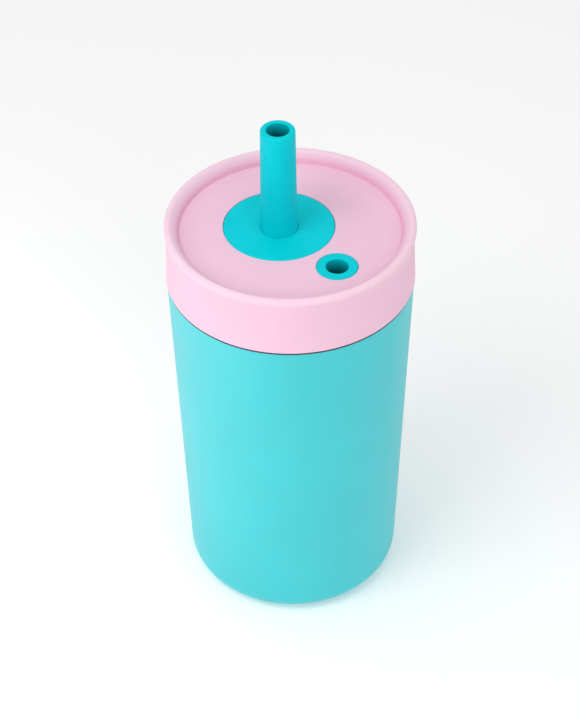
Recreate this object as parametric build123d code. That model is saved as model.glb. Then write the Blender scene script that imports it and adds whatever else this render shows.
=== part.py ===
from build123d import *
import math
import os

# Insulated straw cup for a small child: a double-walled steel cup, a screw lid and soft silicone fittings.
# Millimetres, +Z up. The origin is the middle of the surface that the cup stands on.
# The air vent is on the -Y side of the lid and the straw stands off the axis towards +Y.

# ---- cup, overall ----
cup_height = 116.9  # resting surface to the shoulder, where the lid's skirt ends
cup_top_radius = 37.9  # outside, at the shoulder
cup_base_radius = 34.35  # outside, where the wall line would meet the resting surface
base_round = 6.1  # radius of the outer edge at the foot
shoulder_round = 0.45  # edge of the shoulder, under the lid's skirt
shell_wall = 0.9
foot_width = 1.6  # flat ring that the cup stands on
foot_flange = 3.0  # height of the foot's inner return
foot_round = 0.5  # edge between the standing ring and the return

# ---- neck and thread ----
shoulder_step = 4.0  # how far the threaded neck stands in from the wall
neck_root_round = 1.0
thread_pitch = 4.2
thread_turns = 1.5
thread_depth = 1.3
thread_crest = 0.8  # width of the ridge at its top
thread_root = 1.7  # width of the ridge at its foot
thread_sink = 0.25  # how far a ridge is let into its wall
neck_thread_start = 3.4  # shoulder to the middle of the ridge's lower end
neck_margin = 0.95  # plain neck above the ridge

# ---- liner ----
liner_wall = 0.7
neck_gap = 0.1  # between the liner's neck and the shell's neck
lip_thickness = 0.9  # liner's edge rolled over the top of the neck
lip_round = 0.4
vacuum_gap_top = 3.6  # shell to liner, below the shoulder
vacuum_gap_bottom = 4.2
vacuum_gap_floor = 6.5  # base disc to the liner's floor
liner_round = 7.0  # inside corner at the liner's floor
liner_cone = 5.0  # height over which the liner widens to its neck
liner_step = 1.5  # how far below the shoulder the liner's neck starts

# ---- base disc, vacuum seal and getter ----
disc_wall = 0.8
disc_fit = 0.1  # radial gap between the disc's edge and the foot's return
disc_lift = 1.3  # resting surface to the disc's underside
disc_rim = 1.4  # height of the disc's upturned edge
dimple_radius = 5.0
dimple_depth = 0.8
port_radius = 0.9
seal_radius = 3.0
seal_thickness = 0.6
getter_radius = 4.0
getter_thickness = 1.4
clip_wall = 0.35
clip_gap = 0.05  # between the getter and its clip

# ---- lid ----
seam_gap = 0.3  # shoulder to the lower edge of the skirt
skirt_overhang = 0.25  # skirt's lower edge outside the cup's wall
skirt_wall = 2.45  # at its lower edge
skirt_draft = 0.75  # how much narrower the skirt is under the rim
rim_overhang = 0.1  # outermost line of the rounded rim outside the cup's wall
rim_round = 1.2  # outer edge of the rim
rim_side = 0.4  # upright band under that edge
rim_blend = 3.2  # height over which the rim runs into the skirt
rim_ramp_width = 2.34  # gentle slope inside the crest
rim_ramp_fall = 1.83
rim_ramp_round = 2.5  # where the slope turns down into the steep inner side
rim_wall_lean = 0.55  # how far that steep side leans outwards over its height
skirt_edge_round = 0.35
skirt_bend = 5.0  # where the skirt starts to swell into the rim
rim_bend = 4.0  # where that swell ends
plate_inset = 4.5  # rim's outermost line to the line where its inside meets the plate
plate_drop = 3.35  # crest of the rim to that line
plate_slope_width = 5.9  # sloped border of the plate, from that line to the level middle
plate_slope_round = 12.0  # where the border runs into the level middle
plate_fall = 1.55  # how much lower the level middle is
plate_thickness = 2.2  # at its edge, over the gasket
plate_pad = 2.6  # extra depth of the plate's middle, below the gasket's seat
plug_gap = 0.8  # around the plug wall in the cup's mouth
plug_wall = 1.8
plug_depth = 6.2  # gasket's seat to the lower edge of the plug wall
plug_round = 0.6

# ---- gasket ----
gasket_inner_gap = 0.4  # plug wall to the gasket
gasket_outer_gap = 0.9  # gasket to the skirt
gasket_thickness = 1.5
gasket_round = 0.4
soft_gap = 0.3  # clearance around soft pieces that move

# ---- straw spout ----
web = 3.05  # lid's plate between the two round fittings
flange_margin = 5.45  # flange to the edge of the plate's level middle
spout_foot_radius = 5.66
spout_tip_radius = 5.2
spout_height = 35.3  # flange to the tip
spout_bore_radius = 3.45
spout_tip_round = 0.7
spout_bore_round = 0.4  # inner edge of the tip
spout_crease_width = 0.3  # fine groove where the straw meets its flange
spout_crease_depth = 0.25
flange_thickness = 1.5
flange_dish = 0.35  # how much lower the flange is at the straw than at its edge
flange_edge_round = 0.45
flange_proud = 0.1  # how far the flange's edge stands over the plate
sleeve_radius = 6.1  # outside of the part below the plate
sleeve_length = 11.0  # flange's underside to the sleeve's lower end
seat_gap = 0.12  # around the flange in its recess

# ---- lower straw ----
straw_radius = 3.75
straw_wall = 0.75
straw_insert = 9.0  # length held in the sleeve
straw_fit = 0.02  # radial gap between the straw and the sleeve
straw_floor_gap = 3.0  # lower end to the floor of the cup
straw_cut = 2.2  # rise of the slanted lower end

# ---- vent valve ----
vent_margin = 0.25  # vent's ring to the edge of the plate's level middle
vent_flange_radius = 6.25
vent_flange_thickness = 1.3
vent_proud = 0.25  # how far the ring stands over the plate
vent_edge_round = 0.5
vent_well_radius = 3.4
vent_well_round = 0.5
vent_body_radius = 4.7
vent_body_length = 5.6  # below the ring
vent_floor = 0.8
beak_width = 3.6
beak_depth = 3.4
beak_tip = 1.2
slit_width = 0.3

# ---- radii that follow ----
neck_radius = cup_top_radius - shoulder_step
neck_inner = neck_radius - shell_wall
liner_neck_outer = neck_inner - neck_gap
liner_neck_inner = liner_neck_outer - liner_wall
skirt_bottom_radius = cup_top_radius + skirt_overhang
skirt_top_radius = skirt_bottom_radius - skirt_draft
skirt_inner_radius = skirt_bottom_radius - skirt_wall
rim_radius = cup_top_radius + rim_overhang
plate_radius = rim_radius - plate_inset
level_radius = plate_radius - plate_slope_width
plug_outer_radius = liner_neck_inner - plug_gap
gasket_inner_radius = plug_outer_radius + gasket_inner_gap
gasket_outer_radius = skirt_inner_radius - gasket_outer_gap
vent_offset = level_radius - vent_margin - vent_flange_radius
flange_radius = (level_radius + vent_offset - vent_flange_radius - web - flange_margin) / 2
spout_setback = flange_radius + web + vent_flange_radius - vent_offset
foot_outer = cup_base_radius - base_round
foot_inner = foot_outer - foot_width
wall_slope = (cup_top_radius - cup_base_radius) / cup_height

# ---- heights that follow ----
skirt_bottom = cup_height + seam_gap
neck_top = cup_height + neck_thread_start + thread_pitch * thread_turns + thread_root / 2 + neck_margin
lip_top = neck_top + lip_thickness
gasket_seat = lip_top + 2 * soft_gap + gasket_thickness
plate_edge = gasket_seat + plate_thickness
rim_crest = plate_edge + plate_drop
rim_middle = rim_crest - rim_round - rim_side
plate_level = plate_edge - plate_fall
plate_under = gasket_seat - plate_pad
plug_bottom = gasket_seat - plug_depth
liner_floor_under = disc_lift + disc_wall + vacuum_gap_floor
liner_floor = liner_floor_under + liner_wall
flange_top = plate_level + flange_proud
flange_floor = flange_top - flange_dish - flange_thickness
spout_tip = flange_top + spout_height
sleeve_bottom = flange_floor - sleeve_length
straw_top = sleeve_bottom + straw_insert
straw_bottom = liner_floor + straw_floor_gap
vent_top = plate_level + vent_proud
vent_flange_floor = vent_top - vent_flange_thickness
vent_body_bottom = vent_flange_floor - vent_body_length


def turned(points, rounds):
    # solid of revolution about Z from (radius, height) corners, each with its own rounding
    outline = FilletPolyline(*points, radius=rounds, close=True)
    return revolve(Plane.XZ * make_face(outline), Axis.Z, 360)


def turned_sharp(points):
    return turned(points, [0] * len(points))


def upright(radius, bottom, top):
    # plain cylinder between two heights
    return Pos(0, 0, bottom) * Cylinder(
        radius, top - bottom, align=(Align.CENTER, Align.CENTER, Align.MIN)
    )


def wall_radius(height):
    # outside of the cup's tapered wall
    return cup_base_radius + wall_slope * height


def thread_ridge(wall, start, direction):
    # helical ridge on a wall: direction +1 points outwards, -1 points inwards
    root = wall - direction * thread_sink
    crest = wall + direction * thread_depth
    path = Helix(thread_pitch, thread_pitch * thread_turns, wall, center=(0, 0, start))
    corners = [
        (root, start - thread_root / 2),
        (crest, start - thread_crest / 2),
        (crest, start + thread_crest / 2),
        (root, start + thread_root / 2),
    ]
    section = Plane.XZ * make_face(Polyline(*corners, close=True))
    return sweep(section, path=path, is_frenet=True)


def make_outer_shell():
    inner_low = wall_radius(shell_wall) - shell_wall
    inner_high = wall_radius(cup_height) - shell_wall
    points = [
        (foot_inner, 0),
        (cup_base_radius, 0),
        (cup_top_radius, cup_height),
        (neck_radius, cup_height),
        (neck_radius, neck_top),
        (neck_inner, neck_top),
        (neck_inner, cup_height - shell_wall),
        (inner_high, cup_height - shell_wall),
        (inner_low, shell_wall),
        (foot_inner + shell_wall, shell_wall),
        (foot_inner + shell_wall, foot_flange),
        (foot_inner, foot_flange),
    ]
    rounds = [
        foot_round,
        base_round,
        shoulder_round,
        neck_root_round,
        0,
        0,
        0,
        0,
        base_round - shell_wall,
        0,
        0,
        0,
    ]
    shell = turned(points, rounds)
    ridge = thread_ridge(neck_radius, cup_height + neck_thread_start, 1)
    return shell + ridge


def make_inner_liner():
    top_of_wall = cup_height - shell_wall - liner_step
    shoulder = top_of_wall - liner_cone
    outer_high = wall_radius(shoulder) - shell_wall - vacuum_gap_top
    outer_low = wall_radius(liner_floor_under) - shell_wall - vacuum_gap_bottom
    points = [
        (0, liner_floor_under),
        (outer_low, liner_floor_under),
        (outer_high, shoulder),
        (liner_neck_outer, top_of_wall),
        (liner_neck_outer, neck_top),
        (neck_radius, neck_top),
        (neck_radius, lip_top),
        (liner_neck_inner, lip_top),
        (liner_neck_inner, top_of_wall),
        (outer_high - liner_wall, shoulder),
        (outer_low - liner_wall, liner_floor),
        (0, liner_floor),
    ]
    rounds = [0, liner_round + liner_wall, 0, 0, 0, 0, lip_round, lip_round, 0, 0, liner_round, 0]
    return turned(points, rounds)


def make_base_disc():
    edge = foot_inner - disc_fit
    floor_top = disc_lift + disc_wall
    dimple_top = floor_top + dimple_depth
    points = [
        (port_radius, disc_lift + dimple_depth),
        (dimple_radius, disc_lift + dimple_depth),
        (dimple_radius + dimple_depth, disc_lift),
        (edge, disc_lift),
        (edge, disc_lift + disc_rim),
        (edge - disc_wall, disc_lift + disc_rim),
        (edge - disc_wall, floor_top),
        (dimple_radius + dimple_depth, floor_top),
        (dimple_radius, dimple_top),
        (port_radius, dimple_top),
    ]
    return turned_sharp(points)


def make_vacuum_seal():
    # bead of glass that fills the hole and spreads in the dimple under it
    top = disc_lift + dimple_depth
    points = [
        (0, top - seal_thickness),
        (seal_radius, top - seal_thickness),
        (seal_radius, top),
        (port_radius, top),
        (port_radius, top + disc_wall),
        (0, top + disc_wall),
    ]
    return turned(points, [0, seal_thickness / 2, 0, 0, 0, 0])


def make_getter():
    top = liner_floor_under - clip_gap
    return upright(getter_radius, top - getter_thickness, top)


def make_getter_clip():
    # shallow steel pan with a flat collar welded to the liner's floor
    inside = getter_radius + clip_gap
    depth = getter_thickness + 2 * clip_gap
    top = liner_floor_under
    points = [
        (0, top - depth - clip_wall),
        (inside + clip_wall, top - depth - clip_wall),
        (inside + clip_wall, top - clip_wall),
        (inside + getter_radius / 2, top - clip_wall),
        (inside + getter_radius / 2, top),
        (inside, top),
        (inside, top - depth),
        (0, top - depth),
    ]
    return turned_sharp(points)


def make_lid():
    ramp_low = plate_radius + rim_wall_lean
    bulge_low = rim_middle - rim_blend
    points = [
        (skirt_inner_radius, skirt_bottom),
        (skirt_bottom_radius, skirt_bottom),
        (skirt_top_radius, bulge_low),
        (rim_radius, rim_middle),
        (rim_radius, rim_crest),
        (ramp_low + rim_ramp_width, rim_crest),
        (ramp_low, rim_crest - rim_ramp_fall),
        (plate_radius, plate_edge),
        (level_radius, plate_level),
        (0, plate_level),
        (0, plate_under),
        (plug_outer_radius - plug_wall, plate_under),
        (plug_outer_radius - plug_wall, plug_bottom),
        (plug_outer_radius, plug_bottom),
        (plug_outer_radius, gasket_seat),
        (skirt_inner_radius, gasket_seat),
    ]
    outside = [0, skirt_edge_round, skirt_bend, rim_bend, rim_round, rim_round]
    top = [rim_ramp_round, 0, plate_slope_round, 0, 0]
    underside = [plug_round, 0, plug_round, 0, 0]
    rounds = outside + top + underside
    body = turned(points, rounds)
    ridge_start = cup_height + neck_thread_start - thread_pitch / 2
    body += thread_ridge(skirt_inner_radius, ridge_start, -1)
    return body - spout_cavity() - vent_cavity()


def spout_cavity():
    # recess for the flange and the hole for the sleeve
    recess = upright(flange_radius + seat_gap, flange_floor, rim_crest)
    hole = upright(sleeve_radius + soft_gap, plug_bottom, rim_crest)
    return Pos(0, spout_setback, 0) * (recess + hole)


def vent_cavity():
    recess = upright(vent_flange_radius + seat_gap, vent_flange_floor, rim_crest)
    hole = upright(vent_body_radius + seat_gap, plug_bottom, rim_crest)
    return Pos(0, -vent_offset, 0) * (recess + hole)


def make_lid_gasket():
    top = gasket_seat - soft_gap
    points = [
        (gasket_inner_radius, top - gasket_thickness),
        (gasket_outer_radius, top - gasket_thickness),
        (gasket_outer_radius, top),
        (gasket_inner_radius, top),
    ]
    return turned(points, [gasket_round] * 4)


def make_straw_spout():
    foot = flange_top - flange_dish
    crease_outer = spout_foot_radius + spout_crease_width
    points = [
        (spout_bore_radius, sleeve_bottom),
        (sleeve_radius, sleeve_bottom),
        (sleeve_radius, flange_floor),
        (flange_radius, flange_floor),
        (flange_radius, flange_top),
        (crease_outer, foot),
        (crease_outer, foot - spout_crease_depth),
        (spout_foot_radius, foot - spout_crease_depth),
        (spout_tip_radius, spout_tip),
        (spout_bore_radius, spout_tip),
    ]
    rounds = [0, 0, 0, 0, flange_edge_round, 0, 0, 0, spout_tip_round, spout_bore_round]
    spout = turned(points, rounds)
    socket = upright(straw_radius + straw_fit, sleeve_bottom, straw_top)
    return Pos(0, spout_setback, 0) * (spout - socket)


def make_lower_straw():
    tube = upright(straw_radius, straw_bottom, straw_top)
    bore = upright(straw_radius - straw_wall, straw_bottom, straw_top)
    slant = math.degrees(math.atan2(straw_cut, 2 * straw_radius))
    side = 8 * straw_radius
    cutter = Box(side, side, side, align=(Align.CENTER, Align.CENTER, Align.MAX))
    cutter = Pos(0, 0, straw_bottom + straw_cut / 2) * Rot(slant, 0, 0) * cutter
    return Pos(0, spout_setback, 0) * (tube - bore - cutter)


def make_vent_valve():
    points = [
        (0, vent_body_bottom),
        (vent_body_radius, vent_body_bottom),
        (vent_body_radius, vent_flange_floor),
        (vent_flange_radius, vent_flange_floor),
        (vent_flange_radius, vent_top),
        (vent_well_radius, vent_top),
        (vent_well_radius, vent_body_bottom + vent_floor),
        (0, vent_body_bottom + vent_floor),
    ]
    rounds = [0, 0, 0, 0, vent_edge_round, vent_well_round, 0, 0]
    ring = turned(points, rounds)
    beak = Pos(0, 0, vent_body_bottom) * make_beak()
    slit_height = beak_depth + vent_floor
    slit = Pos(0, 0, vent_body_bottom + vent_floor) * Box(
        beak_width, slit_width, slit_height, align=(Align.CENTER, Align.CENTER, Align.MAX)
    )
    return Pos(0, -vent_offset, 0) * (ring + beak - slit)


def make_beak():
    # duckbill that narrows downwards to its slit
    top = Rectangle(2 * beak_width, 2 * beak_width)
    bottom = Pos(0, 0, -beak_depth) * Rectangle(2 * beak_width, beak_tip)
    bill = loft([top, bottom])
    return bill & upright(vent_body_radius, -beak_depth, 0)


makers = {
    "outer_shell": make_outer_shell,
    "inner_liner": make_inner_liner,
    "base_disc": make_base_disc,
    "vacuum_seal": make_vacuum_seal,
    "getter": make_getter,
    "getter_clip": make_getter_clip,
    "lid": make_lid,
    "lid_gasket": make_lid_gasket,
    "straw_spout": make_straw_spout,
    "lower_straw": make_lower_straw,
    "vent_valve": make_vent_valve,
}

os.makedirs("parts", exist_ok=True)
for name, make in makers.items():
    solid = make()
    solid.label = name
    export_step(solid, f"parts/{name}.step")
    print(name, round(solid.volume), "mm3")
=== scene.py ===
import bpy
import math
from mathutils import Matrix, Vector


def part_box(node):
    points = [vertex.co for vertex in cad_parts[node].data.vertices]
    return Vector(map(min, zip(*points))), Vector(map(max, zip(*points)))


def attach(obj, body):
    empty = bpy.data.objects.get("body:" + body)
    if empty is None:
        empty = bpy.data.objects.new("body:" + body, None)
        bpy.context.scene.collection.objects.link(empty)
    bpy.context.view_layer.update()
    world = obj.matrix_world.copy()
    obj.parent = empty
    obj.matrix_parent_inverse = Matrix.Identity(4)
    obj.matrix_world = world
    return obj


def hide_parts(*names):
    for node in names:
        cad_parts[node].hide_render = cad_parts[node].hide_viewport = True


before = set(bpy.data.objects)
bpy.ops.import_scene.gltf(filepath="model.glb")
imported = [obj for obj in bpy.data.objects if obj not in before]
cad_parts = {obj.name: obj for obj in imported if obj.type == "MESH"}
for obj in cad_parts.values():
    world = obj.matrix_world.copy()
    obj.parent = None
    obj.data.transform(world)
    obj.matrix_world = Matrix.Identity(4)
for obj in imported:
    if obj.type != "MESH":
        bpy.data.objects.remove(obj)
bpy.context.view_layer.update()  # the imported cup: bodies, nodes, joints and record

mm = 0.001
lightDepth = 0.002  # metres that light reaches into soft plastic and rubber


def boxOf(node):
    low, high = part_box(node)
    return [v / mm for v in low], [v / mm for v in high]


shellHigh = boxOf("outer_shell")[1]
linerLow, linerHigh = boxOf("inner_liner")
discLow, discHigh = boxOf("base_disc")
lidLow, lidHigh = boxOf("lid")
gasketLow, gasketHigh = boxOf("lid_gasket")
spoutLow, spoutHigh = boxOf("straw_spout")
strawLow, strawHigh = boxOf("lower_straw")
ventLow, ventHigh = boxOf("vent_valve")
sealLow, sealHigh = boxOf("vacuum_seal")
getterLow, getterHigh = boxOf("getter")
clipLow, clipHigh = boxOf("getter_clip")

spoutCentre = (0, (spoutLow[1] + spoutHigh[1]) / 2)
ventCentre = (0, (ventLow[1] + ventHigh[1]) / 2)


class Wire:
    # a socket that can be used in sums
    def __init__(self, graph, socket):
        self.graph = graph
        self.socket = socket

    def sum(self, operation, *others):
        return self.graph.node("ShaderNodeMath", {"operation": operation}, [self, *others])

    def __add__(self, other):
        return self.sum("ADD", other)

    def __radd__(self, other):
        return self.sum("ADD", other)

    def __sub__(self, other):
        return self.sum("SUBTRACT", other)

    def __rsub__(self, other):
        return self.graph.node("ShaderNodeMath", {"operation": "SUBTRACT"}, [other, self])

    def __mul__(self, other):
        return self.sum("MULTIPLY", other)

    def __rmul__(self, other):
        return self.sum("MULTIPLY", other)

    def __truediv__(self, other):
        return self.sum("DIVIDE", other)

    def __rtruediv__(self, other):
        return self.graph.node("ShaderNodeMath", {"operation": "DIVIDE"}, [other, self])

    def __pow__(self, other):
        return self.sum("POWER", other)

    def least(self, other):
        return self.sum("MINIMUM", other)

    def most(self, other):
        return self.sum("MAXIMUM", other)


class Graph:
    # adds nodes to a node tree
    def __init__(self, tree):
        self.tree = tree

    def node(self, kind, settings=None, sockets=None, out=0):
        made = self.tree.nodes.new(kind)
        for key, value in (settings or {}).items():
            if key == "stops":
                self.setStops(made, value)
            else:
                setattr(made, key, value)
        given = sockets or {}
        pairs = given.items() if isinstance(given, dict) else enumerate(given)
        for key, value in pairs:
            self.feed(made.inputs[key], value)
        return Wire(self, made.outputs[out]) if made.outputs else None

    def feed(self, socket, value):
        if isinstance(value, Wire):
            self.tree.links.new(value.socket, socket)
        else:
            socket.default_value = value

    def setStops(self, made, stops):
        ramp = made.color_ramp
        while len(ramp.elements) < len(stops):
            ramp.elements.new(1.0)
        for element, (place, colour) in zip(ramp.elements, stops):
            element.position = place
            element.color = colour


class Finish(Graph):
    # a material with one Principled shader
    def __init__(self, name, colour, roughness, **steady):
        self.material = bpy.data.materials.new(name)
        self.material.use_nodes = True
        super().__init__(self.material.node_tree)
        self.shader = self.tree.nodes["Principled BSDF"]
        self.set("Base Color", (*colour, 1))
        self.set("Roughness", roughness)
        for key, value in steady.items():
            self.set(key.replace("_", " "), value)
        self.place = self.node("ShaderNodeTexCoord", out="Object")

    def set(self, name, value):
        self.feed(self.shader.inputs[name], value)

    def letLightIn(self, weight):
        self.set("Subsurface Weight", weight)
        self.set("Subsurface Scale", lightDepth)

    def noise(self, scale, detail=2.0, place=None):
        sockets = {"Vector": place or self.place, "Scale": scale, "Detail": detail}
        return self.node("ShaderNodeTexNoise", None, sockets)

    def ramp(self, value, stops):
        return self.node("ShaderNodeValToRGB", {"stops": stops}, {"Fac": value})

    def twoTones(self, value, tones, places=(0.3, 0.7)):
        return self.ramp(value, [(place, (*tone, 1)) for place, tone in zip(places, tones)])

    def blend(self, share, first, second):
        made = self.node("ShaderNodeMix", {"data_type": "RGBA"}, {"Factor": share}, out=2)
        mixer = made.socket.node
        self.feed(mixer.inputs[6], first)
        self.feed(mixer.inputs[7], (*second, 1))
        return made

    def bump(self, height, depth, normal=None):
        # depth in millimetres; normal is another bump under this one
        sockets = {"Height": height, "Distance": depth * mm}
        if normal is not None:
            sockets["Normal"] = normal
        return self.node("ShaderNodeBump", None, sockets)

    def measured(self, centre=(0, 0)):
        # x, y and z from an upright axis, in millimetres
        split = self.node("ShaderNodeSeparateXYZ", None, [self.place])
        x, y, z = (Wire(self, socket) / mm for socket in split.socket.node.outputs)
        return x - centre[0], y - centre[1], z

    def polar(self, centre=(0, 0)):
        # distance from an upright axis and height, in millimetres
        x, y, z = self.measured(centre)
        return (x * x + y * y).sum("SQRT"), z


def shades(colour, amounts):
    return [tuple(min(1.0, c * amount) for c in colour) for amount in amounts]


def beyond(value, limit):
    return value.sum("GREATER_THAN", limit)


def rising(value, start, width):
    # 0 up to the start, and 1 once the width is crossed
    return ((value - start) / width).most(0.0).least(1.0)


def varied(least, more, pattern):
    return least + more * pattern


coatFinish = {
    "colour": (0.0275, 0.605, 0.66),
    "roughness": 0.42,
    "shine": 0.67,
    "toneAmounts": (0.97, 1.03),
    "toneScale": 28,
    "leastRoughness": 0.36,
    "moreRoughness": 0.12,
    "roughnessScale": 900,
    "peelScale": 620,  # orange peel of the baked powder
    "peelDepth": 0.04,
    "gritScale": 2600,
    "gritDepth": 0.01,
    # painted shade in the gap under the skirt, and the band of the shoulder it covers
    "gapShadeColour": (0.05, 0.04, 0.06),
    "gapShadeHeight": 0.3,
    "gapShadeWidth": 0.35,
}


def makePowderCoat():
    look = coatFinish
    f = Finish("tealPowderCoat", look["colour"], look["roughness"], Specular_IOR_Level=look["shine"])
    tone = f.twoTones(f.noise(look["toneScale"], 3), shades(look["colour"], look["toneAmounts"]))
    # painted shade: a fine dark line on the top of the shoulder, in the gap under the skirt
    distance, height = f.polar()
    edge = beyond(height, cup["shoulder"] - look["gapShadeHeight"])
    edge = edge * beyond(distance, cup["topRadius"] - look["gapShadeWidth"])
    f.set("Base Color", f.blend(edge, tone, look["gapShadeColour"]))
    pattern = f.noise(look["roughnessScale"])
    f.set("Roughness", varied(look["leastRoughness"], look["moreRoughness"], pattern))
    peel = f.bump(f.noise(look["peelScale"]), look["peelDepth"])
    f.set("Normal", f.bump(f.noise(look["gritScale"]), look["gritDepth"], peel))
    return f.material


pinkFinish = {
    "colour": (0.92, 0.592, 0.738),
    "roughness": 0.5,
    "shine": 0.11,
    "depthOfLight": 0.08,
    "depthColour": (1.0, 0.5, 0.6),
    "toneAmounts": (0.975, 1.02),
    "toneScale": 35,
    "leastRoughness": 0.44,
    "moreRoughness": 0.14,
    "roughnessScale": 1500,
    "grainScale": 2400,  # fine spark-eroded grain of the mould
    "grainDepth": 0.012,
    "waveScale": 140,
    "waveDepth": 0.03,
    "crestHighlightColour": (0.97, 0.675, 0.8),
    "crestHighlightRadius": 34.6,  # the painted highlight on the crest starts here and is full after its width
    "crestWidth": 1.4,
    "crestHighlightDrop": 2.2,  # and at this height below the top of the rim
    "crestHighlightRise": 1.2,
    "cornerShadeColour": (0.93, 0.42, 0.6),
    # radius and share of the painted shade, a deeper pink
    "cornerShadeStops": [(29.5, 0), (33.4, 0.24), (33.55, 0.7), (33.9, 0.6), (34.6, 0.18), (35.6, 0)],
    "cornerShadeDrop": 0.5,  # below the plate
}


def makePinkMoulding():
    look = pinkFinish
    f = Finish("pinkMoulding", look["colour"], look["roughness"], Specular_IOR_Level=look["shine"])
    f.letLightIn(look["depthOfLight"])
    f.set("Subsurface Radius", look["depthColour"])
    tone = f.twoTones(f.noise(look["toneScale"], 3), shades(look["colour"], look["toneAmounts"]))
    # painted highlight makes the rim paler along its crest, and painted shade makes the corner inside
    # it a deeper pink
    distance, height = f.polar()
    crest = rising(distance, look["crestHighlightRadius"], look["crestWidth"])
    crest = crest * rising(height, lidHigh[2] - look["crestHighlightDrop"], look["crestHighlightRise"])
    tone = f.blend(crest, tone, look["crestHighlightColour"])
    # painted shade: the corner inside the rim and the border of the plate beside it turn deeper pink
    stops = look["cornerShadeStops"]
    first = stops[0][0]
    reach = stops[-1][0] - first
    shares = [((radius - first) / reach, (share, share, share, 1)) for radius, share in stops]
    corner = f.ramp((distance - first) / reach, shares)
    above = beyond(height, lidHigh[2] - lid["plateDrop"] - lid["plateFall"] - look["cornerShadeDrop"])
    f.set("Base Color", f.blend(corner * above, tone, look["cornerShadeColour"]))
    pattern = f.noise(look["roughnessScale"])
    f.set("Roughness", varied(look["leastRoughness"], look["moreRoughness"], pattern))
    wave = f.bump(f.noise(look["waveScale"], 1), look["waveDepth"])
    f.set("Normal", f.bump(f.noise(look["grainScale"], 3), look["grainDepth"], wave))
    return f.material


siliconeFinish = {
    "colour": (0.0, 0.655, 0.73),
    "roughness": 0.5,
    "shine": 0.08,
    "depthOfLight": 0.12,
    "depthColour": (0.3, 1.0, 1.0),
    "toneAmounts": (0.96, 1.04),
    "toneScale": 90,
    "leastRoughness": 0.46,
    "moreRoughness": 0.12,
    "roughnessScale": 700,
    "skinScale": 1800,
    "skinDepth": 0.012,
    "dustColour": (0.01, 0.2, 0.24),
    "dustScale": 520.0,  # cells in a metre, each with room for one speck
    "dustSize": 0.16,
    "dustRarity": 0.985,
    "dustShare": 0.6,
    # painted shade inside the straw's bore and the vent's well
    "boreShadeColour": (0.0, 0.16, 0.19),
    "boreShadeFade": 5.0,  # depth at which the painted shade in a bore is as dark as it gets
    "boreShadeEdge": 0.05,
}


def makeSilicone():
    look = siliconeFinish
    f = Finish("tealSilicone", look["colour"], look["roughness"], Specular_IOR_Level=look["shine"])
    f.letLightIn(look["depthOfLight"])
    f.set("Subsurface Radius", look["depthColour"])
    tone = f.twoTones(f.noise(look["toneScale"], 3), shades(look["colour"], look["toneAmounts"]))
    # sparse specks of dust that the soft rubber holds
    sockets = {"Vector": f.place, "Scale": look["dustScale"]}
    dots = f.node("ShaderNodeTexVoronoi", {"feature": "F1"}, sockets)
    cell = Wire(f, dots.socket.node.outputs["Position"])
    rare = f.node("ShaderNodeTexWhiteNoise", {"noise_dimensions": "3D"}, [cell])
    speck = dots.sum("LESS_THAN", look["dustSize"]) * beyond(rare, look["dustRarity"])
    tone = f.blend(speck * look["dustShare"], tone, look["dustColour"])
    # painted shade: the two bores are darker further down
    for centre, radius, top in (
        (spoutCentre, spout["boreRadius"], spoutHigh[2]),
        (ventCentre, vent["wellRadius"], ventHigh[2]),
    ):
        distance, height = f.polar(centre)
        bore = distance.sum("LESS_THAN", radius + look["boreShadeEdge"])
        depth = ((top - height) / look["boreShadeFade"]).least(1.0)
        tone = f.blend(bore * depth, tone, look["boreShadeColour"])
    f.set("Base Color", tone)
    pattern = f.noise(look["roughnessScale"])
    f.set("Roughness", varied(look["leastRoughness"], look["moreRoughness"], pattern))
    f.set("Normal", f.bump(f.noise(look["skinScale"], 3), look["skinDepth"]))
    return f.material


steelFinish = {
    "colour": (0.62, 0.62, 0.61),
    "roughness": 0.28,
    "tones": ((0.55, 0.55, 0.54), (0.70, 0.70, 0.69)),
    "toneSpread": (0.25, 0.75),
    "leastRoughness": 0.2,
    "moreRoughness": 0.2,
    "ringScale": 5.2,  # rings in a millimetre, left by the lathe
    "ringWander": 0.8,
    "ringDepth": 0.006,
}


def makeTurnedSteel():
    look = steelFinish
    f = Finish("turnedSteel", look["colour"], look["roughness"], Metallic=1.0)
    x, y, height = f.measured()
    distance = (x * x + y * y).sum("SQRT")
    wander = y.sum("ARCTAN2", x) * look["ringWander"]
    scale = look["ringScale"]
    line = f.node("ShaderNodeCombineXYZ", None, [wander, distance * scale, height * scale])
    streak = f.noise(1.0, 3, line)
    f.set("Roughness", varied(look["leastRoughness"], look["moreRoughness"], streak))
    f.set("Base Color", f.twoTones(streak, look["tones"], look["toneSpread"]))
    f.set("Normal", f.bump(streak, look["ringDepth"]))
    return f.material


rubberFinish = {
    "colour": (0.80, 0.80, 0.77),
    "roughness": 0.42,
    "depthOfLight": 0.35,
    "tones": ((0.76, 0.76, 0.73), (0.84, 0.84, 0.81)),
    "toneScale": 160,
    "leastRoughness": 0.36,
    "moreRoughness": 0.14,
    "roughnessScale": 600,
    "skinScale": 1500,
    "skinDepth": 0.01,
}


def makeGasketRubber():
    look = rubberFinish
    f = Finish("clearSilicone", look["colour"], look["roughness"])
    f.letLightIn(look["depthOfLight"])
    f.set("Base Color", f.twoTones(f.noise(look["toneScale"]), look["tones"]))
    pattern = f.noise(look["roughnessScale"])
    f.set("Roughness", varied(look["leastRoughness"], look["moreRoughness"], pattern))
    f.set("Normal", f.bump(f.noise(look["skinScale"]), look["skinDepth"]))
    return f.material


tubeFinish = {
    "colour": (0.80, 0.84, 0.85),
    "roughness": 0.3,
    "depthOfLight": 0.25,
    "tones": ((0.76, 0.80, 0.81), (0.84, 0.87, 0.88)),
    "leastRoughness": 0.22,
    "moreRoughness": 0.16,
    "drawing": (2200, 2200, 25),  # lines drawn along its length
    "lineDepth": 0.008,
}


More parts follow.
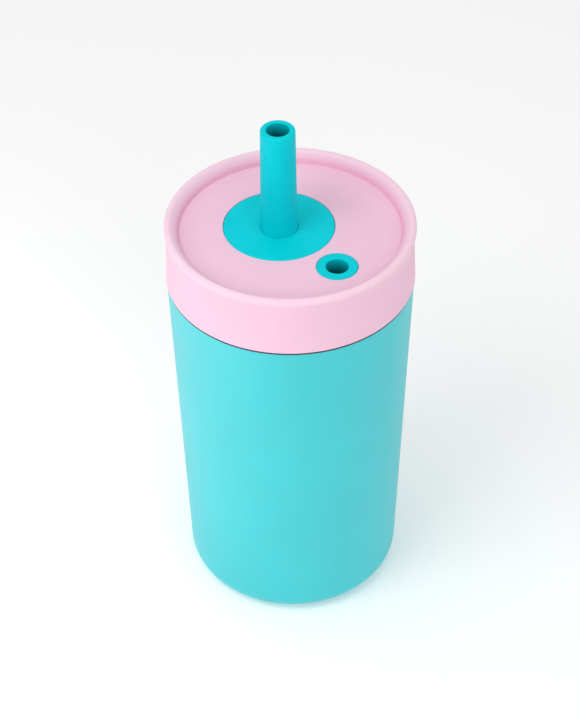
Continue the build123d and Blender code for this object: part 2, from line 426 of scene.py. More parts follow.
def makeStrawPlastic():
    look = tubeFinish
    f = Finish("milkyStraw", look["colour"], look["roughness"])
    f.letLightIn(look["depthOfLight"])
    stretched = f.node("ShaderNodeMapping", None, {"Vector": f.place, "Scale": look["drawing"]})
    lines = f.noise(1.0, place=stretched)
    f.set("Base Color", f.twoTones(lines, look["tones"]))
    f.set("Roughness", varied(look["leastRoughness"], look["moreRoughness"], lines))
    f.set("Normal", f.bump(lines, look["lineDepth"]))
    return f.material


glassFinish = {
    "colour": (0.10, 0.09, 0.08),
    "roughness": 0.15,
    "coat": 0.4,
    "tones": ((0.06, 0.055, 0.05), (0.20, 0.18, 0.15)),
    "toneSpread": (0.35, 0.7),
    "toneScale": 900,
    "rippleScale": 1200,
    "rippleDepth": 0.03,
}


def makeSealGlass():
    look = glassFinish
    f = Finish("sealGlass", look["colour"], look["roughness"], Coat_Weight=look["coat"])
    f.set("Base Color", f.twoTones(f.noise(look["toneScale"], 3), look["tones"], look["toneSpread"]))
    f.set("Normal", f.bump(f.noise(look["rippleScale"]), look["rippleDepth"]))
    return f.material


powderFinish = {
    "colour": (0.28, 0.28, 0.29),
    "roughness": 0.7,
    "metallic": 0.6,
    "tones": ((0.18, 0.18, 0.19), (0.38, 0.38, 0.39)),
    "toneScale": 3500,
    "leastRoughness": 0.6,
    "moreRoughness": 0.25,
    "roughnessScale": 2500,
    "grainScale": 4200,
    "grainDepth": 0.04,
}


def makeGetterPowder():
    look = powderFinish
    f = Finish("getterPowder", look["colour"], look["roughness"], Metallic=look["metallic"])
    f.set("Base Color", f.twoTones(f.noise(look["toneScale"]), look["tones"]))
    pattern = f.noise(look["roughnessScale"])
    f.set("Roughness", varied(look["leastRoughness"], look["moreRoughness"], pattern))
    f.set("Normal", f.bump(f.noise(look["grainScale"]), look["grainDepth"]))
    return f.material


# roundings of small edges, in millimetres
crisp = 0.1
soft = 0.2
broad = 0.3

outlines = {
    "segments": 256,  # round a full turn
    "run": 4.0,  # longest straight piece of an outline
    "support": 0.12,  # points this near to both ends of a run keep its shading flat
    "arcStep": 9,  # degrees
    "arcSlack": 0.998,
    "onAxis": 1e-6,
    "nearlyFlat": 0.001,  # radians
    "sharpEdge": 28,  # degrees, after a cut
}


def roundedOutline(corners, closed, step):
    # corners are (radius, height, rounding); each rounding becomes an arc
    places = [Vector(corner[:2]) for corner in corners]
    count = len(places)
    turns, reaches = [], []
    for i, here in enumerate(places):
        ends = not closed and i in (0, count - 1)
        turn = math.pi if ends else (places[i - 1] - here).angle(places[(i + 1) % count] - here)
        turns.append(turn)
        straight = turn > math.pi - outlines["nearlyFlat"]
        reaches.append(0 if straight else corners[i][2] / math.tan(turn / 2))
    path = []
    for i, here in enumerate(places):
        if reaches[i] == 0:
            path.append(here)
            continue
        before, after = places[i - 1], places[(i + 1) % count]
        reach = min(
            shareOfRun((before - here).length, reaches[i], reaches[i - 1]),
            shareOfRun((after - here).length, reaches[i], reaches[(i + 1) % count]),
        )
        path += cornerArc(here, before - here, after - here, reach, turns[i])
    return fillLongRuns(path, closed, step)


def shareOfRun(length, reach, neighbour):
    # two arcs that need more than the run between them shrink together
    return reach * min(1.0, outlines["arcSlack"] * length / (reach + neighbour))


def cornerArc(here, back, ahead, reach, turn):
    radius = reach * math.tan(turn / 2)
    back, ahead = back.normalized(), ahead.normalized()
    centre = here + (back + ahead).normalized() * (radius / math.sin(turn / 2))
    start = here + back * reach - centre
    end = here + ahead * reach - centre
    sweep = math.atan2(start.x * end.y - start.y * end.x, start.dot(end))
    pieces = max(2, math.ceil(abs(sweep) / math.radians(outlines["arcStep"])))
    return [centre + Matrix.Rotation(sweep * k / pieces, 2) @ start for k in range(pieces + 1)]


def fillLongRuns(path, closed, step):
    support = outlines["support"]
    out = []
    count = len(path)
    for i, point in enumerate(path):
        out.append(point)
        if i == count - 1 and not closed:
            break
        following = path[(i + 1) % count]
        run = following - point
        if run.length < 3 * support:
            continue
        out.append(point + run * (support / run.length))
        pieces = max(1, round(run.length / step))
        out += [point + run * (k / pieces) for k in range(1, pieces)]
        out.append(following - run * (support / run.length))
    return out


def lathe(
    name,
    corners,
    centre=(0, 0),
    segments=outlines["segments"],
    closed=True,
    step=outlines["run"],
    swell=None,
):
    # turns an outline about an upright axis; swell(angle, radius, height) may add to the radius
    path = roundedOutline(corners, closed, step)
    area = sum(a.x * b.y - b.x * a.y for a, b in zip(path, path[1:] + path[:1]))
    if area < 0:
        path.reverse()
    points, rings = [], []
    for p in path:
        if p.x < outlines["onAxis"]:
            rings.append([len(points)])
            points.append((centre[0] * mm, centre[1] * mm, p.y * mm))
            continue
        ring = []
        for k in range(segments):
            angle = 2 * math.pi * k / segments
            radius = p.x + (swell(angle, p.x, p.y) if swell else 0)
            ring.append(len(points))
            x = centre[0] + radius * math.cos(angle)
            y = centre[1] + radius * math.sin(angle)
            points.append((x * mm, y * mm, p.y * mm))
        rings.append(ring)
    faces = []
    following = rings[1:] + rings[:1] if closed else rings[1:]
    for low, high in zip(rings, following):
        faces += bandFaces(low, high, segments)
    return newPiece(name, points, faces)


def bandFaces(low, high, segments):
    out = []
    if len(low) == 1 and len(high) == 1:
        return out
    for k in range(segments):
        n = (k + 1) % segments
        if len(low) == 1:
            out.append((low[0], high[n], high[k]))
        elif len(high) == 1:
            out.append((low[k], low[n], high[0]))
        else:
            out.append((low[k], low[n], high[n], high[k]))
    return out


def newPiece(name, points, faces):
    mesh = bpy.data.meshes.new(name)
    mesh.from_pydata(points, [], faces)
    mesh.validate()
    mesh.polygons.foreach_set("use_smooth", [True] * len(mesh.polygons))
    mesh.update()
    piece = bpy.data.objects.new(name, mesh)
    bpy.context.scene.collection.objects.link(piece)
    return piece


def paint(piece, material):
    piece.data.materials.clear()
    piece.data.materials.append(material)


def settle(piece, body, slot, *nodes):
    # rides on its body and stands for its CAD nodes
    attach(piece, body)
    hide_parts(*nodes)


def bake(piece):
    # keeps the result of the modifiers as a plain mesh
    depsgraph = bpy.context.evaluated_depsgraph_get()
    mesh = bpy.data.meshes.new_from_object(piece.evaluated_get(depsgraph), depsgraph=depsgraph)
    piece.modifiers.clear()
    piece.data = mesh


def cutAway(piece, cutters):
    for cutter in cutters:
        tool = piece.modifiers.new("cut", "BOOLEAN")
        tool.operation = "DIFFERENCE"
        tool.solver = "EXACT"
        tool.object = cutter
    bake(piece)
    for cutter in cutters:
        bpy.data.objects.remove(cutter)
    piece.data.set_sharp_from_angle(angle=math.radians(outlines["sharpEdge"]))


thread = {
    "start": 3.4,  # shoulder to the lower end of the cup's ridge
    "pitch": 4.2,
    "turns": 1.5,
    "depth": 1.25,
    "rootWidth": 1.7,
    "crestWidth": 0.8,
    "sink": 0.2,
    "round": 0.22,
    "fadeTurns": 0.08,
    "points": 240,
    "leastSize": 0.02,  # share of the section that is left at the very ends
}


def makeThreadTree():
    tree = bpy.data.node_groups.new("threadRidge", "GeometryNodeTree")
    tree.interface.new_socket("Geometry", in_out="OUTPUT", socket_type="NodeSocketGeometry")
    names = ["Wall Radius", "Start Height", "Pitch", "Turns", "Reach", "Root Width", "Crest Width"]
    for name in [*names, "Sink", "Round", "Fade Turns", "Lean"]:
        tree.interface.new_socket(name, in_out="INPUT", socket_type="NodeSocketFloat")
    tree.interface.new_socket("Points", in_out="INPUT", socket_type="NodeSocketInt")
    tree.interface.new_socket("Material", in_out="INPUT", socket_type="NodeSocketMaterial")
    g = Graph(tree)
    entry = g.node("NodeGroupInput").socket.node
    give = {socket.name: Wire(g, socket) for socket in entry.outputs if socket.name}
    line = g.node("GeometryNodeCurvePrimitiveLine", None, {"End": (0, 0, 1)})
    line = g.node("GeometryNodeResampleCurve", None, {"Curve": line, "Count": give["Points"]})
    along = g.node("GeometryNodeSplineParameter")
    angle = along * give["Turns"] * (2 * math.pi)
    x = angle.sum("COSINE") * give["Wall Radius"]
    y = angle.sum("SINE") * give["Wall Radius"]
    z = give["Start Height"] + along * give["Turns"] * give["Pitch"]
    spot = g.node("ShaderNodeCombineXYZ", None, [x, y, z])
    helix = g.node("GeometryNodeSetPosition", None, {"Geometry": line, "Position": spot})
    nearEnd = along.least(1 - along) * give["Turns"] / give["Fade Turns"]
    size = nearEnd.least(1.0).most(thread["leastSize"]) ** 0.5
    helix = g.node("GeometryNodeSetCurveNormal", {"mode": "Z_UP"}, {"Curve": helix})
    section = ridgeSection(g, give)
    sockets = {"Curve": helix, "Profile Curve": section, "Scale": size, "Fill Caps": True}
    ridge = g.node("GeometryNodeCurveToMesh", None, sockets)
    ridge = g.node("GeometryNodeSetShadeSmooth", None, {"Geometry": ridge})
    ridge = g.node("GeometryNodeRealizeInstances", None, [ridge])
    ridge = g.node("GeometryNodeSetMaterial", None, {"Geometry": ridge, "Material": give["Material"]})
    g.node("NodeGroupOutput", None, [ridge])
    return tree


def ridgeSection(g, give):
    # rounded trapezium whose broad side is sunk into the wall
    height = give["Reach"] + give["Sink"]
    widths = {"Bottom Width": give["Root Width"], "Top Width": give["Crest Width"]}
    sockets = {**widths, "Height": height, "Offset": 0}
    flat = g.node("GeometryNodeCurvePrimitiveQuadrilateral", {"mode": "TRAPEZOID"}, sockets)
    sockets = {"Curve": flat, "Radius": give["Round"], "Count": 3}
    section = g.node("GeometryNodeFilletCurve", {"mode": "POLY"}, sockets)
    shift = g.node("ShaderNodeCombineXYZ", None, {"Y": height / 2 - give["Sink"]})
    section = g.node("GeometryNodeTransform", None, {"Geometry": section, "Translation": shift})
    turn = g.node("ShaderNodeCombineXYZ", None, {"Z": give["Lean"]})
    return g.node("GeometryNodeTransform", None, {"Geometry": section, "Rotation": turn})


def threadRidge(name, tree, material, radius, start, outward):
    piece = newPiece(name, [(0, 0, 0)], [])
    tool = piece.modifiers.new("ridge", "NODES")
    tool.node_group = tree
    values = {
        "Wall Radius": radius * mm,
        "Start Height": start * mm,
        "Pitch": thread["pitch"] * mm,
        "Turns": thread["turns"],
        "Reach": thread["depth"] * mm,
        "Root Width": thread["rootWidth"] * mm,
        "Crest Width": thread["crestWidth"] * mm,
        "Sink": thread["sink"] * mm,
        "Round": thread["round"] * mm,
        "Fade Turns": thread["fadeTurns"],
        "Lean": math.radians(-90 if outward else 90),
        "Points": thread["points"],
        "Material": material,
    }
    for item in tree.interface.items_tree:
        if item.in_out == "INPUT":
            tool[item.identifier] = values[item.name]
    bake(piece)
    return piece


cup = {
    "shoulder": lidLow[2] - 0.3,  # 0.3 below the skirt's lower edge
    "topRadius": 37.9,
    "baseRadius": 34.35,
    "baseRound": 6.1,
    "shoulderRound": 0.45,
    "wall": 0.9,
    "footWidth": 1.6,
    "footReturn": 3.0,
    "neckRadius": 33.9,
    "coatEdge": 34.9,  # where the coating stops on the shoulder
    "neckRootRound": 0.9,
    "neckFit": 0.05,  # bare steel of the neck inside the edge of the coating
    "neckDrop": 0.04,  # how much lower that steel is than the coating
    "footRound": 0.5,
}


def wallRadius(height):
    return cup["baseRadius"] + (cup["topRadius"] - cup["baseRadius"]) * height / cup["shoulder"]


def makeCupWall(coat):
    top = cup["shoulder"]
    wall = cup["wall"]
    foot = shellFootInner()
    corners = [
        (foot, 0, cup["footRound"]),
        (cup["baseRadius"], 0, cup["baseRound"]),
        (cup["topRadius"], top, cup["shoulderRound"]),
        (cup["coatEdge"], top, crisp),
        (cup["coatEdge"], top - wall, 0),
        (cup["topRadius"] - wall, top - wall, broad),
        (wallRadius(wall) - wall, wall, cup["baseRound"] - wall),
        (foot + wall, wall, soft),
        (foot + wall, cup["footReturn"], soft),
        (foot, cup["footReturn"], soft),
    ]
    piece = lathe("cupWall", corners)
    paint(piece, coat)
    settle(piece, "cup", "teal_coat", "outer_shell")


def shellFootInner():
    return cup["baseRadius"] - cup["baseRound"] - cup["footWidth"]


def makeNeck(steel, tree):
    top = cup["shoulder"]
    inner = cup["neckRadius"] - cup["wall"]
    outer = cup["coatEdge"] - cup["neckFit"]
    ledge = top - cup["neckDrop"]
    corners = [
        (inner, top - cup["wall"], 0),
        (outer, top - cup["wall"], 0),
        (outer, ledge, crisp),
        (cup["neckRadius"], ledge, cup["neckRootRound"]),
        (cup["neckRadius"], shellHigh[2], crisp),
        (inner, shellHigh[2], crisp),
    ]
    neck = lathe("cupNeck", corners)
    paint(neck, steel)
    lowEnd = top + thread["start"]
    ridge = threadRidge("neckThread", tree, steel, cup["neckRadius"], lowEnd, True)
    for piece in (neck, ridge):
        settle(piece, "cup", "steel", "outer_shell")


liner = {
    "wall": 0.7,
    "floorRound": 7.0,
    "lipRound": 0.4,
    "lipUnderRound": 0.15,
    "cone": 5.0,
    "coneRound": 4.0,
    "neckGap": 0.1,
    "coneStart": 1.5,  # below the underside of the shoulder
    "gapTop": 3.6,  # vacuum between the walls at the cone
    "gapBottom": 4.2,  # and at the floor
    "lip": 0.9,
}


def makeLiner(steel):
    wall = liner["wall"]
    lipOuter = linerHigh[0]
    neckOuter = cup["neckRadius"] - cup["wall"] - liner["neckGap"]
    stepTop = cup["shoulder"] - cup["wall"] - liner["coneStart"]
    stepLow = stepTop - liner["cone"]
    outerTop = wallRadius(stepLow) - cup["wall"] - liner["gapTop"]
    outerLow = wallRadius(linerLow[2]) - cup["wall"] - liner["gapBottom"]
    lipUnder = linerHigh[2] - liner["lip"]
    corners = [
        (0, linerLow[2], 0),
        (outerLow, linerLow[2], liner["floorRound"] + wall),
        (outerTop, stepLow, liner["coneRound"]),
        (neckOuter, stepTop, liner["coneRound"]),
        (neckOuter, lipUnder, 0),
        (lipOuter, lipUnder, liner["lipUnderRound"]),
        (lipOuter, linerHigh[2], liner["lipRound"]),
        (neckOuter - wall, linerHigh[2], liner["lipRound"]),
        (neckOuter - wall, stepTop, liner["coneRound"]),
        (outerTop - wall, stepLow, liner["coneRound"]),
        (outerLow - wall, linerLow[2] + wall, liner["floorRound"]),
        (0, linerLow[2] + wall, 0),
    ]
    piece = lathe("innerLiner", corners, closed=False)
    paint(piece, steel)
    settle(piece, "cup", "steel", "inner_liner")


base = {
    "wall": 0.8,
    "dimpleRadius": 5.0,
    "dimpleDepth": 0.8,
    "portRadius": 0.9,  # hole that the glass bead closes
    "edgeRound": 0.35,
    "bend": 0.5,
    "beadCrown": 0.8,  # where the bead starts to curve, as a share of its radius
    "beadRise": 0.1,
    "beadRound": 0.6,
}


def makeBase(steel, glass):
    low, high = discLow[2], discHigh[2]
    edge = discHigh[0]
    wall, bend = base["wall"], base["bend"]
    dimple, depth, port = base["dimpleRadius"], base["dimpleDepth"], base["portRadius"]
    corners = [
        (port, low + depth, crisp),
        (dimple, low + depth, bend),
        (dimple + depth, low, bend),
        (edge, low, base["edgeRound"]),
        (edge, high, soft),
        (edge - wall, high, soft),
        (edge - wall, low + wall, broad),
        (dimple + depth, low + wall, bend),
        (dimple, low + wall + depth, bend),
        (port, low + wall + depth, crisp),
    ]
    disc = lathe("baseDisc", corners)
    paint(disc, steel)
    settle(disc, "cup", "steel", "base_disc")
    bead = [
        (0, sealLow[2], 0),
        (sealHigh[0] * base["beadCrown"], sealLow[2] + base["beadRise"], base["beadRound"]),
        (sealHigh[0], low + depth, 0),
        (port, low + depth, 0),
        (port, sealHigh[2], crisp),
        (0, sealHigh[2], 0),
    ]
    seal = lathe("vacuumSealBead", bead, segments=96, closed=False)
    paint(seal, glass)
    settle(seal, "cup", "seal_glass", "vacuum_seal")


getter = {
    "edgeRound": 0.3,
    "clipWall": 0.35,
    "clipGap": 0.05,
    "clipRound": 0.4,
}


def makeGetter(steel, powder):
    pill = [
        (0, getterLow[2], 0),
        (getterHigh[0], getterLow[2], getter["edgeRound"]),
        (getterHigh[0], getterHigh[2], getter["edgeRound"]),
        (0, getterHigh[2], 0),
    ]
    piece = lathe("getterPill", pill, segments=96, closed=False)
    paint(piece, powder)
    settle(piece, "cup", "getter_metal", "getter")
    wall = getter["clipWall"]
    inside = getterHigh[0] + getter["clipGap"]
    top, low = clipHigh[2], clipLow[2]
    pan = [
        (0, low, 0),
        (inside + wall, low, getter["clipRound"]),
        (inside + wall, top - wall, broad),
        (clipHigh[0], top - wall, crisp),
        (clipHigh[0], top, crisp),
        (inside, top, crisp),
        (inside, low + wall, soft),
        (0, low + wall, 0),
    ]
    clip = lathe("getterClip", pan, segments=96, closed=False)
    paint(clip, steel)
    settle(clip, "cup", "steel", "getter_clip")


lid = {
    "skirtBottomRadius": lidHigh[0],
    "skirtTopRadius": 37.4,
    "skirtInner": 35.7,
    "skirtRound": 0.35,
    "skirtInnerRound": 0.25,
    "skirtCurve": 5,
    "rimCurve": 4,
    "rimRadius": 38.0,
    "rimRound": 1.2,
    "rimSide": 0.4,
    "rimBlend": 3.2,
    "rampWidth": 2.34,  # gentle slope inside the crest of the rim
    "rampFall": 1.83,
    "rampRound": 2.5,
    "wallLean": 0.55,
    "plateRadius": 33.5,
    "plateDrop": 3.35,  # crest of the rim to the line round the plate
    "plateSlope": 5.9,  # sloped border of the plate
    "plateSlopeRound": 14.0,
    "plateFall": 1.55,
    "plateThickness": 2.2,
    "platePad": 2.6,
    "plugRadius": 31.4,
    "plugWall": 1.8,
    "plugDepth": 6.2,
    "plugRound": 0.6,
    "padRound": 0.5,
    "seatGap": 0.12,  # round the flange and the vent in their recesses
    "sleeveGap": 0.3,
    "cutAbove": 5,  # the recesses are cut from this far above the rim
}


def makeLid(moulding, tree):
    bottom, crest = lidLow[2], lidHigh[2]
    middle = crest - lid["rimRound"] - lid["rimSide"]
    seat = crest - lid["plateDrop"] - lid["plateThickness"]
    under = seat - lid["platePad"]
    plugLow = seat - lid["plugDepth"]
    edge = crest - lid["plateDrop"]
    level = edge - lid["plateFall"]
    rampLow = lid["plateRadius"] + lid["wallLean"]
    corners = [
        (lid["skirtInner"], bottom, lid["skirtInnerRound"]),
        (lid["skirtBottomRadius"], bottom, lid["skirtRound"]),
        (lid["skirtTopRadius"], middle - lid["rimBlend"], lid["skirtCurve"]),
        (lid["rimRadius"], middle, lid["rimCurve"]),
        (lid["rimRadius"], crest, lid["rimRound"]),
        (rampLow + lid["rampWidth"], crest, lid["rimRound"]),
        (rampLow, crest - lid["rampFall"], lid["rampRound"]),
        (lid["plateRadius"], edge, crisp),
        (lid["plateRadius"] - lid["plateSlope"], level, lid["plateSlopeRound"]),
        (0, level, 0),
        (0, under, 0),
        (lid["plugRadius"] - lid["plugWall"], under, lid["padRound"]),
        (lid["plugRadius"] - lid["plugWall"], plugLow, lid["plugRound"]),
        (lid["plugRadius"], plugLow, lid["plugRound"]),
        (lid["plugRadius"], seat, broad),
        (lid["skirtInner"], seat, broad),
    ]
    start = corners.index((0, under, 0))
    outline = corners[start:] + corners[:start]
    piece = lathe("lidShell", outline, closed=False, step=3.0)
    cutAway(piece, [recessCutter(spoutCentre, *spoutRecess()), recessCutter(ventCentre, *ventRecess())])
    paint(piece, moulding)
    lowEnd = cup["shoulder"] + thread["start"] - thread["pitch"] / 2
    ridge = threadRidge("lidThread", tree, moulding, lid["skirtInner"], lowEnd, False)
    paint(ridge, moulding)
    for part in (piece, ridge):
        settle(part, "lid", "pink_plastic", "lid")


def flangeTop():
    return spoutHigh[2] - spout["height"]


def spoutRecess():
    # radius of the flange's recess, its floor, radius of the hole for the sleeve
    floor = flangeTop() - spout["flangeDish"] - spout["flangeThickness"]
    return spout["flangeRadius"] + lid["seatGap"], floor, spout["sleeveRadius"] + lid["sleeveGap"]


def ventRecess():
    floor = ventHigh[2] - vent["flangeThickness"]
    return vent["flangeRadius"] + lid["seatGap"], floor, vent["bodyRadius"] + lid["seatGap"]


def recessCutter(centre, radius, floor, hole):
    over = lidHigh[2] + lid["cutAbove"]
    corners = [
        (0, lidLow[2], 0),
        (hole, lidLow[2], 0),
        (hole, floor, soft),
        (radius, floor, soft),
        (radius, over, 0),
        (0, over, 0),
    ]
    return lathe("cutter", corners, centre, segments=192, closed=False)


gasket = {
    "width": 3.0,
    "edgeRound": 0.35,
    "groove": 0.5,  # half the width of the groove on each face
    "grooveDepth": 0.25,
    "grooveRound": 0.15,
}


def makeGasket(rubber):
    outer = gasketHigh[0]
    inner = outer - gasket["width"]
    middle = (inner + outer) / 2
    edge, bend = gasket["edgeRound"], gasket["grooveRound"]
    under = [
        (inner, gasketLow[2], edge),
        (middle - gasket["groove"], gasketLow[2], bend),
        (middle, gasketLow[2] + gasket["grooveDepth"], soft),
        (middle + gasket["groove"], gasketLow[2], bend),
        (outer, gasketLow[2], edge),
    ]
    halfWay = (gasketLow[2] + gasketHigh[2]) / 2
    over = [(radius, 2 * halfWay - height, rounding) for radius, height, rounding in reversed(under)]
    corners = under + over
    piece = lathe("gasketRing", corners)
    paint(piece, rubber)
    settle(piece, "gasket", "clear_silicone", "lid_gasket")


spout = {
    "tipRadius": 5.2,
    "footRadius": 5.66,
    "boreRadius": 3.45,
    "tipRound": 0.7,
    "boreRound": 0.4,
    "flangeRadius": spoutHigh[0],
    "flangeThickness": 1.5,
    "flangeDish": 0.35,
    "flangeRound": 0.45,
    "flangeUnder": 0.25,
    "creaseWidth": 0.3,
    "creaseDepth": 0.25,
    "creaseSlope": 0.08,
    "creaseRound": 0.12,
    "sleeveRadius": 6.1,
    "sleeveRound": 0.5,
    "sleeveRoot": 0.4,
    "socketDepth": 9.0,
    "height": 35.3,
    "seamHeight": 0.03,  # moulding seam on two sides of the tube
    "seamWidth": 0.25,
    "seamInset": 0.9,  # outside the bore, where the seam starts on the tip
}


def makeSpout(silicone):
    top = flangeTop()
    foot = top - spout["flangeDish"]
    floor = foot - spout["flangeThickness"]
    groove = spout["footRadius"] + spout["creaseWidth"]
    low = spoutLow[2]
    socket = strawHigh[0]
    corners = [
        (socket, low, broad),
        (spout["sleeveRadius"], low, spout["sleeveRound"]),
        (spout["sleeveRadius"], floor, spout["sleeveRoot"]),
        (spout["flangeRadius"], floor, spout["flangeUnder"]),
        (spout["flangeRadius"], top, spout["flangeRound"]),
        (groove, foot, spout["creaseRound"]),
        (groove - spout["creaseSlope"], foot - spout["creaseDepth"], spout["creaseRound"] / 2),
        (spout["footRadius"], foot - spout["creaseDepth"], crisp),
        (spout["tipRadius"], spoutHigh[2], spout["tipRound"]),
        (spout["boreRadius"], spoutHigh[2], spout["boreRound"]),
        (spout["boreRadius"], low + spout["socketDepth"], crisp),
        (socket, low + spout["socketDepth"], crisp),
    ]

    def seam(angle, radius, height):
        # faint line left by the two halves of the mould
        if height < foot or radius < spout["boreRadius"] + spout["seamInset"]:
            return 0
        across = abs(math.sin(angle)) * radius
        return spout["seamHeight"] * max(0.0, 1 - across / spout["seamWidth"])

    piece = lathe("strawSpout", corners, spoutCentre, segments=192, step=1.5, swell=seam)
    paint(piece, silicone)
    settle(piece, "straw", "teal_silicone", "straw_spout")


lowerStraw = {
    "wall": 0.75,
    "topRound": 0.15,
    "cut": 2.2,  # rise of the slanted lower end
    "cutFade": 12,  # height over which the wall's rings turn level again
}


def makeLowerStraw(plastic):
    outer = strawHigh[0]
    inner = outer - lowerStraw["wall"]
    low, high = strawLow[2], strawHigh[2]
    corners = [
        (inner, low, crisp),
        (outer, low, crisp),
        (outer, high, lowerStraw["topRound"]),
        (inner, high, lowerStraw["topRound"]),
    ]
    piece = lathe("lowerStraw", corners, spoutCentre, segments=96, step=2.0)
    for vertex in piece.data.vertices:
        # slanted lower end, so that it can't seal itself on the floor of the cup
        rise = lowerStraw["cut"] * ((vertex.co.y / mm - spoutCentre[1]) / outer + 1) / 2
        fade = max(0.0, 1 - (vertex.co.z / mm - low) / lowerStraw["cutFade"])
        vertex.co.z += rise * fade * mm
    paint(piece, plastic)
    settle(piece, "straw", "straw_plastic", "lower_straw")


vent = {
    "flangeRadius": 6.25,
    "flangeThickness": 1.3,
    "edgeRound": 0.5,
    "wellRadius": 3.4,
    "wellRound": 0.5,
    "bodyRadius": 4.7,
    "floor": 0.8,
    "floorRound": 0.4,
    "beakDepth": 3.4,
    "beakWidth": 3.6,
    "beakTip": 1.2,
    "slit": 0.3,
    "slitCut": 2,  # height of the cut through the floor
    "lip": 0.86,  # inner edge of the lips, as a share of their width
    "slotDepth": 1.2,
    "beakLift": 0.05,  # how far the beak is let into the body above it
    "sides": 64,
    "levels": 14,
}


def makeVent(silicone):
    high = ventHigh[2]
    floor = high - vent["flangeThickness"]
    bodyLow = ventLow[2] + vent["beakDepth"]
    corners = [
        (0, bodyLow, 0),
        (vent["bodyRadius"], bodyLow, broad),
        (vent["bodyRadius"], floor, soft),
        (vent["flangeRadius"], floor, soft),
        (vent["flangeRadius"], high, vent["edgeRound"]),
        (vent["wellRadius"], high, vent["wellRound"]),
        (vent["wellRadius"], bodyLow + vent["floor"], vent["floorRound"]),
        (0, bodyLow + vent["floor"], 0),
    ]
    ring = lathe("ventRing", corners, ventCentre, segments=128, closed=False, step=1.0)
    middle = bodyLow + vent["floor"] / 2
    slit = newBox("slitCutter", ventCentre, middle, (vent["beakWidth"], vent["slit"], vent["slitCut"]))
    cutAway(ring, [slit])
    paint(ring, silicone)
    beak = makeBeak(bodyLow)
    paint(beak, silicone)
    for piece in (ring, beak):
        settle(piece, "vent", "teal_silicone", "vent_valve")


def newBox(name, centre, height, size):
    middle = Vector((*centre, height))
    half = Vector(size) / 2
    signs = [(i, j, k) for i in (-1, 1) for j in (-1, 1) for k in (-1, 1)]
    points = [(middle + half * Vector(sign)) * mm for sign in signs]
    faces = [(0, 1, 3, 2), (4, 6, 7, 5), (0, 4, 5, 1), (2, 3, 7, 6), (0, 2, 6, 4), (1, 5, 7, 3)]
    return newPiece(name, points, faces)


def makeBeak(top):
    # duckbill whose two lips meet along the slit
    sides, levels = vent["sides"], vent["levels"]
    width = vent["beakWidth"]
    start = top + vent["beakLift"]
    end = top - vent["beakDepth"]
    points = []
    for level in range(levels + 1):
        t = level / levels
        thick = width * (1 - t) + vent["beakTip"] / 2 * t
        points += beakRing(width, thick, start + (end - start) * t)
    # the lips turn into a shallow slot
    for rise in (0, vent["slotDepth"]):
        points += beakRing(width * vent["lip"], vent["slit"] / 2, end + rise)
    rings = [range(k * sides, (k + 1) * sides) for k in range(levels + 3)]
    faces = [tuple(rings[0])]
    for upper, lower in zip(rings, rings[1:]):
        for k in range(sides):
            n = (k + 1) % sides
            faces.append((upper[k], lower[k], lower[n], upper[n]))
    faces.append(tuple(rings[-1]))
    return newPiece("ventBeak", points, faces)


def beakRing(x, y, height):
    angles = [2 * math.pi * k / vent["sides"] for k in range(vent["sides"])]
    centre = Vector((*ventCentre, height))
    return [(centre + Vector((x * math.cos(a), y * math.sin(a), 0))) * mm for a in angles]


camera = {
    "azimuth": -40.7,
    "elevation": 41.75,
    "roll": 0.61,
    "lens": 100.9,
    "sensor": 36,
    "clip": (0.01, 20),  # metres
    "distance": 608.0,
    "aimBelowRim": 43.6,
    "aimLeft": 0.5,
    "rimHeight": 138.4,
}


def makeCamera():
    a, e, r = (math.radians(camera[key]) for key in ("azimuth", "elevation", "roll"))
    back = Vector((math.sin(a) * math.cos(e), -math.cos(a) * math.cos(e), math.sin(e)))
    right = Vector((math.cos(a), math.sin(a), 0))
    up = back.cross(right)
    place = Vector((0, 0, camera["rimHeight"])) + back * camera["distance"]
    place += -right * camera["aimLeft"] - up * camera["aimBelowRim"]
    turnedRight = right * math.cos(r) - up * math.sin(r)
    turnedUp = up * math.cos(r) + right * math.sin(r)
    data = bpy.data.cameras.new("studioCamera")
    data.lens = camera["lens"]
    data.sensor_width = camera["sensor"]
    data.clip_start, data.clip_end = camera["clip"]
    eye = bpy.data.objects.new("studioCamera", data)
    axes = Matrix((turnedRight, turnedUp, back)).transposed().to_4x4()
    eye.matrix_world = Matrix.Translation(place * mm) @ axes
    bpy.context.scene.collection.objects.link(eye)
    bpy.context.scene.camera = eye


lamps = {
    # turn from the camera, reach and height in metres, width, watts, spread in degrees
    "keyBox": (-50, 0.58, 0.78, 0.5, 1.95, 180),
    "frontBox": (20, 0.78, 0.54, 0.5, 0.97, 180),
    "overheadBox": (0, 0.03, 0.99, 0.5, 1.0, 180),
    "tableLamp": (-70, 0.3, 0.35, 0.3, 0.4, 70),  # shines on the table beside the cup
}


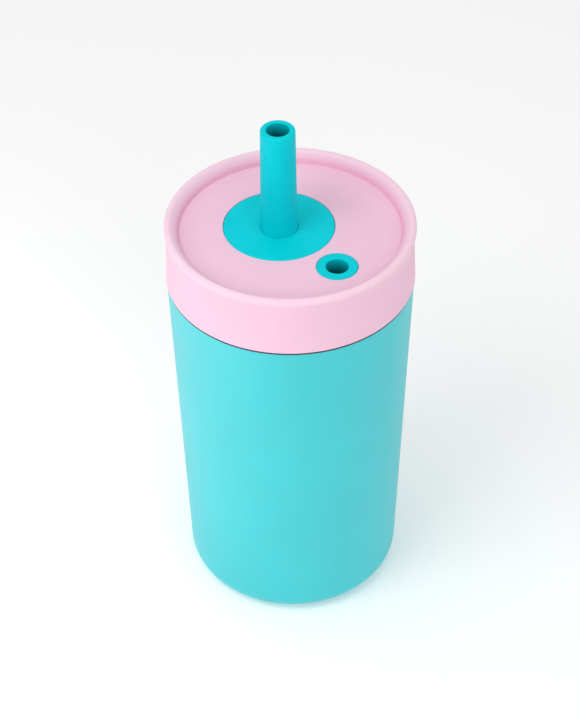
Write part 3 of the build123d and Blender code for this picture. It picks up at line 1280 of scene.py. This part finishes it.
def makeLamps():
    middle = Vector((0, 0, room["lampAim"]))
    for name, (turn, reach, height, width, watts, spread) in lamps.items():
        a = math.radians(camera["azimuth"] + turn)
        data = bpy.data.lights.new(name, "AREA")
        data.shape = "SQUARE"
        data.size = width
        data.energy = watts
        data.spread = math.radians(spread)
        lamp = bpy.data.objects.new(name, data)
        lamp.location = (math.sin(a) * reach, -math.cos(a) * reach, height)
        if name != "tableLamp":  # that one shines straight down
            lamp.rotation_mode = "QUATERNION"
            lamp.rotation_quaternion = (middle - lamp.location).to_track_quat("-Z", "Y")
        bpy.context.scene.collection.objects.link(lamp)


room = {
    # metres
    "lampAim": 0.09,
    "floorSpan": 12.0,
    "wallLight": 0.6,
    "floorGlow": 0.18,
    "paper": (0.92, 0.92, 0.92),
    "paperRoughness": 0.8,
    "paperTones": ((0.915, 0.915, 0.915), (0.925, 0.925, 0.925)),
    "paperScale": 3,
}


def makeFloorPaper():
    f = Finish("palePaper", room["paper"], room["paperRoughness"], Emission_Strength=room["floorGlow"])
    f.set("Emission Color", (1, 1, 1, 1))
    f.set("Base Color", f.twoTones(f.noise(room["paperScale"]), room["paperTones"]))
    return f.material


def makeRoom():
    world = bpy.data.worlds.new("whiteRoom")
    world.use_nodes = True
    backdrop = world.node_tree.nodes["Background"]
    backdrop.inputs["Color"].default_value = (1, 1, 1, 1)
    backdrop.inputs["Strength"].default_value = room["wallLight"]
    bpy.context.scene.world = world
    span = room["floorSpan"]
    points = [(-span, -span, 0), (span, -span, 0), (span, span, 0), (-span, span, 0)]
    floor = newPiece("studioFloor", points, [(0, 1, 2, 3)])
    paint(floor, makeFloorPaper())
    bpy.context.scene.view_settings.view_transform = "Standard"


powderCoat = makePowderCoat()
pinkMoulding = makePinkMoulding()
tealSilicone = makeSilicone()
turnedSteel = makeTurnedSteel()
print("finishes ready")

threadTree = makeThreadTree()
makeCupWall(powderCoat)
makeNeck(turnedSteel, threadTree)
makeLiner(turnedSteel)
makeBase(turnedSteel, makeSealGlass())
makeGetter(turnedSteel, makeGetterPowder())
print("cup ready")

makeLid(pinkMoulding, threadTree)
makeGasket(makeGasketRubber())
print("lid ready")

makeSpout(tealSilicone)
makeLowerStraw(makeStrawPlastic())
makeVent(tealSilicone)
print("straw and vent ready")

makeCamera()
makeLamps()
makeRoom()
print("studio ready")
